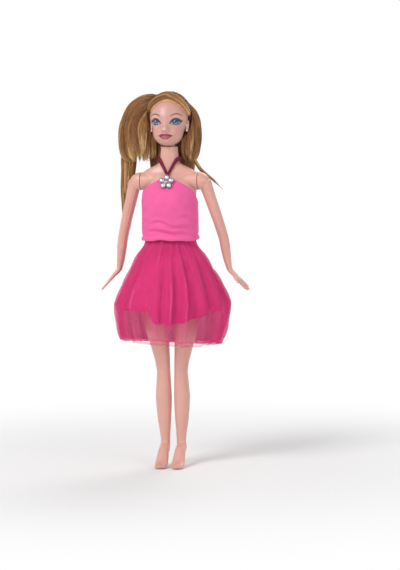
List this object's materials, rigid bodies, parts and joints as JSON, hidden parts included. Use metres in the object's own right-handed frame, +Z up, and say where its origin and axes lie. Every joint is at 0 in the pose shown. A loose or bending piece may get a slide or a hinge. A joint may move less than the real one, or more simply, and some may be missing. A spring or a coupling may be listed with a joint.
{
  "type": "fashion doll",
  "caption": "Fashion doll in a halter dress with a gathered net skirt: head, arms and legs turn at their joints, and long hair hangs to one side.",
  "frame": {"origin": "on the ground under the middle of the doll's bounding box, at the level of the balls of its feet", "axes": "+Z up along the doll, -Y the way the doll faces, +X to the doll's own left"},
  "size_m": [0.1186, 0.0768, 0.2919],
  "materials": {
    "skin_plastic": "smooth moulded skin tone",
    "head_vinyl": "soft vinyl, face painted",
    "steel": "plain wire",
    "rooted_hair": "golden blond synthetic strands",
    "pink_satin": "satin jersey",
    "closure_tape": "hook and loop tape",
    "pink_elastic": "woven elastic",
    "pink_chiffon": "opaque lining",
    "pink_net": "sheer net",
    "burgundy_ribbon": "narrow ribbon",
    "silver_plating": "plated plastic"
  },
  "bodies": {
    "torso_body": {"torso_front": "skin_plastic", "torso_back": "skin_plastic", "hip_rod": "steel", "bodice": "pink_satin", "back_placket": "pink_satin", "closure_tape": "closure_tape", "halter_strap": "burgundy_ribbon", "flower_brooch": "silver_plating", "skirt_waistband": "pink_elastic", "skirt_lining": "pink_chiffon", "skirt_inner_net": "pink_net", "skirt_outer_net": "pink_net"},
    "neck_body": {"neck_knob": "skin_plastic"},
    "head_body": {"head_shell": "head_vinyl", "hair_crown": "rooted_hair", "hair_front_band": "rooted_hair", "hair_right_side": "rooted_hair", "hair_left_side": "rooted_hair", "hair_back": "rooted_hair", "hair_long_lock": "rooted_hair", "hair_stray_lock": "rooted_hair"},
    "left_arm_body": {"left_arm": "skin_plastic"},
    "right_arm_body": {"right_arm": "skin_plastic"},
    "left_leg_body": {"left_leg": "skin_plastic"},
    "right_leg_body": {"right_leg": "skin_plastic"}
  },
  "joints": [
    {"name": "neck_turn", "type": "hinge", "parent": "torso_body", "child": "neck_body", "pos_m": [0, 0, 0.2492], "axis": [0, 0, 1], "range_deg": [-80, 80], "deforming": ["hair_back", "hair_right_side", "hair_left_side", "hair_long_lock", "hair_stray_lock"]},
    {"name": "head_nod", "type": "hinge", "parent": "neck_body", "child": "head_body", "pos_m": [0, 0, 0.2536], "axis": [1, 0, 0], "range_deg": [-7, 7], "deforming": ["hair_back", "hair_right_side", "hair_left_side", "hair_long_lock", "hair_stray_lock"]},
    {"name": "left_shoulder", "type": "hinge", "parent": "torso_body", "child": "left_arm_body", "pos_m": [0.0224, 0, 0.2224], "axis": [-1, 0, 0], "continuous": true, "deforming": ["hair_left_side", "hair_stray_lock"]},
    {"name": "right_shoulder", "type": "hinge", "parent": "torso_body", "child": "right_arm_body", "pos_m": [-0.0224, 0, 0.2224], "axis": [-1, 0, 0], "continuous": true, "deforming": ["hair_right_side", "hair_long_lock"]},
    {"name": "left_hip", "type": "hinge", "parent": "torso_body", "child": "left_leg_body", "pos_m": [0.0031, 0, 0.15], "axis": [-1, 0, 0], "range_deg": [-20, 85], "deforming": ["skirt_lining", "skirt_inner_net", "skirt_outer_net"]},
    {"name": "right_hip", "type": "hinge", "parent": "torso_body", "child": "right_leg_body", "pos_m": [-0.0031, 0, 0.15], "axis": [-1, 0, 0], "range_deg": [-20, 85], "deforming": ["skirt_lining", "skirt_inner_net", "skirt_outer_net"]}
  ]
}
